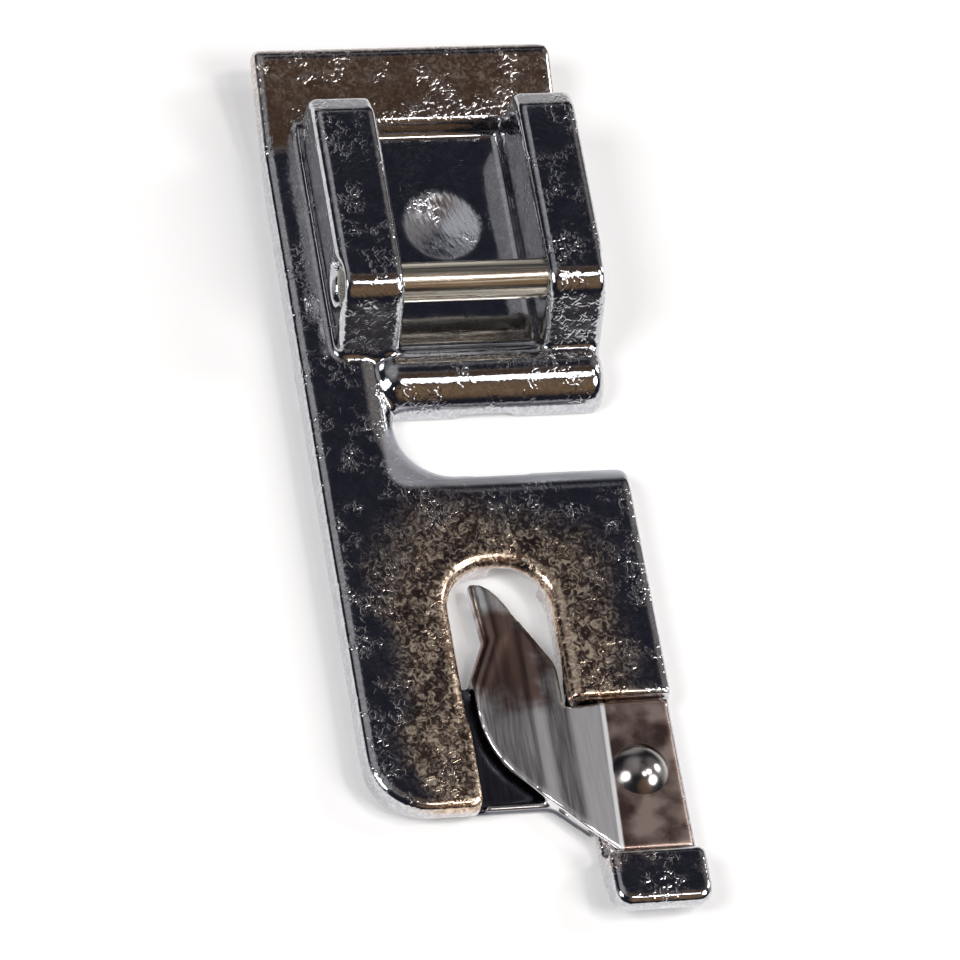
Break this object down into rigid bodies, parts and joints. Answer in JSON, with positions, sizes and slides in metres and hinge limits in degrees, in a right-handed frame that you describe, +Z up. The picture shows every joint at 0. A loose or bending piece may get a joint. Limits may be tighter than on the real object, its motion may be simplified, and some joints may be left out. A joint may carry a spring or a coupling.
{
  "type": "sewing machine presser foot",
  "caption": "Narrow clip-on foot that rolls a hem: cast sole with two ears, a cross pin, a needle slot, an arch and a folded sheet-metal scroll riveted to one toe.",
  "frame": {"origin": "centre of the bounding box, on the sole", "axes": "+Y towards the heel, -Y towards the toes, +Z up from the sole, +X to the right seen from above with the toes in front"},
  "size_m": [0.016, 0.048, 0.0051],
  "materials": {
    "plated_casting": "bright plating over a die casting, slightly rippled, with worn spots",
    "pin_steel": "drawn wire steel, bright, with fine lengthwise lines",
    "sheet_steel": "plated sheet steel, smooth, with soft bends",
    "rivet_steel": "plated domed rivet head"
  },
  "bodies": {
    "root": {"foot_body": "plated_casting", "cross_pin": "pin_steel", "hem_scroll": "sheet_steel", "scroll_rivet": "rivet_steel"}
  },
  "joints": []
}
